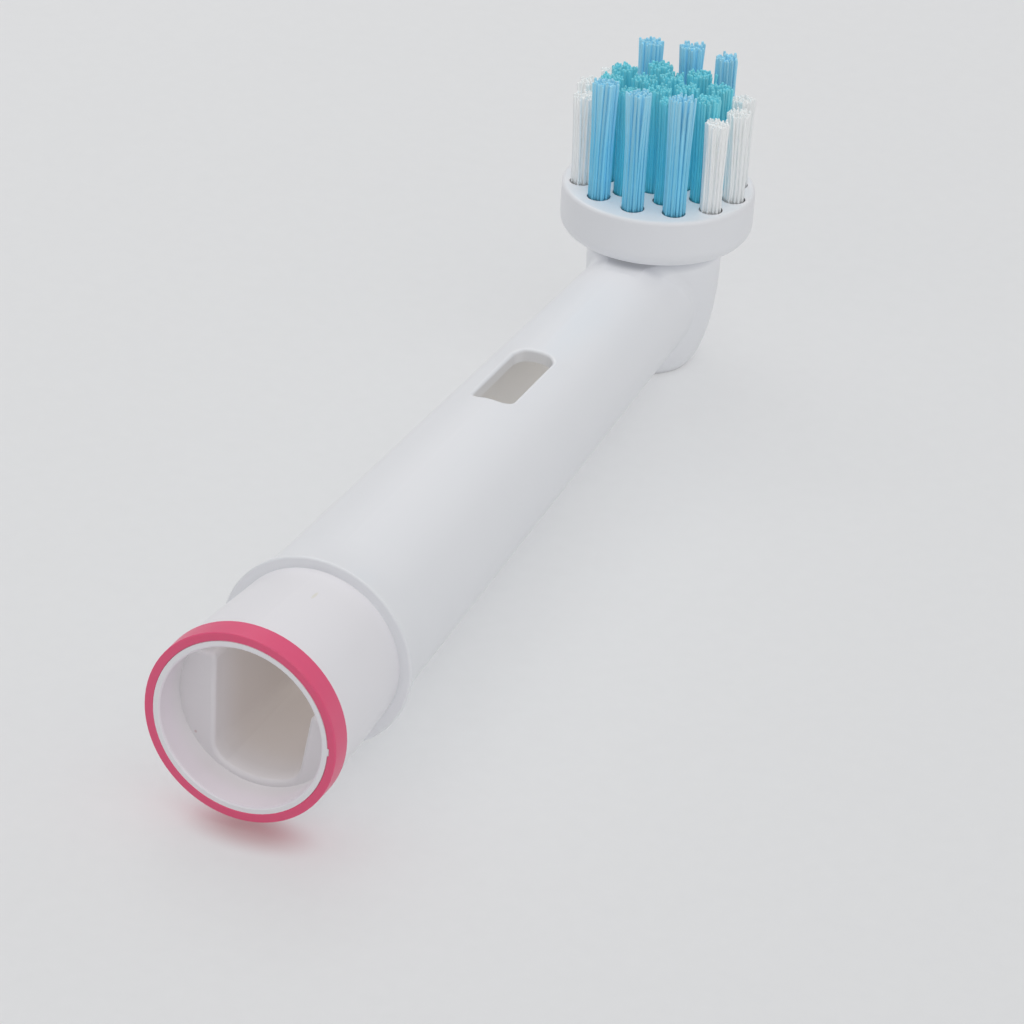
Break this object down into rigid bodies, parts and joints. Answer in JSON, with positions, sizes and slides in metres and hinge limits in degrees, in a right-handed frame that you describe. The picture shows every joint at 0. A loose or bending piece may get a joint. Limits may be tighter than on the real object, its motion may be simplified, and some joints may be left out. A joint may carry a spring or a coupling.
{
  "type": "electric toothbrush head",
  "caption": "Push-on electric toothbrush head: tapered white neck with a coloured ring at its keyed socket and a round tufted brush that swings to and fro.",
  "frame": {"origin": "centre of the coloured ring's front face, at the mouth of the socket", "axes": "+Y along the socket's axis from the mouth towards the brush, +Z the way the bristles point"},
  "size_m": [0.0138, 0.0736, 0.0258],
  "materials": {
    "white_plastic": "satin moulded white polypropylene",
    "pink_plastic": "smooth moulded pink plastic",
    "ivory_plastic": "natural unpigmented acetal",
    "steel": "ground stainless pins and rolled spring strip",
    "brass": "stamped anchor wire",
    "blue_bristle": "blue nylon filament",
    "white_bristle": "clear white nylon filament",
    "green_bristle": "teal green nylon filament"
  },
  "bodies": {
    "neck": {"neck": "white_plastic", "base_insert": "white_plastic", "colour_ring": "pink_plastic", "disc_axle": "steel", "retaining_pin": "steel"},
    "drive": {"drive_sleeve": "ivory_plastic", "shaft_spring": "steel", "drive_pin": "steel"},
    "brush": {"brush_disc": "white_plastic", "tuft_anchors": "brass", "centre_tuft_01": "green_bristle", "centre_tuft_02": "green_bristle", "centre_tuft_03": "green_bristle", "centre_tuft_04": "green_bristle", "inner_tuft_01": "green_bristle", "inner_tuft_02": "green_bristle", "inner_tuft_03": "green_bristle", "inner_tuft_04": "green_bristle", "inner_tuft_05": "green_bristle", "inner_tuft_06": "green_bristle", "inner_tuft_07": "green_bristle", "inner_tuft_08": "green_bristle", "outer_tuft_01_white": "white_bristle", "outer_tuft_02_white": "white_bristle", "outer_tuft_03_blue": "blue_bristle", "outer_tuft_04_blue": "blue_bristle", "outer_tuft_05_blue": "blue_bristle", "outer_tuft_06_white": "white_bristle", "outer_tuft_07_white": "white_bristle", "outer_tuft_08_white": "white_bristle", "outer_tuft_09_blue": "blue_bristle", "outer_tuft_10_blue": "blue_bristle", "outer_tuft_11_blue": "blue_bristle", "outer_tuft_12_white": "white_bristle"}
  },
  "joints": [
    {"name": "sleeve_rock", "type": "hinge", "parent": "neck", "child": "drive", "pos_m": [0, 0.0138, 0], "axis": [0, 1, 0], "range_deg": [-18, 18]},
    {"name": "brush_swing", "type": "hinge", "parent": "neck", "child": "brush", "pos_m": [0, 0.0666, 0.0064], "axis": [0, 0, 1], "range_deg": [-22.5, 22.5]}
  ],
  "couplings": [
    {"joint": "brush_swing", "follows": "sleeve_rock", "ratio": 1.25}
  ]
}
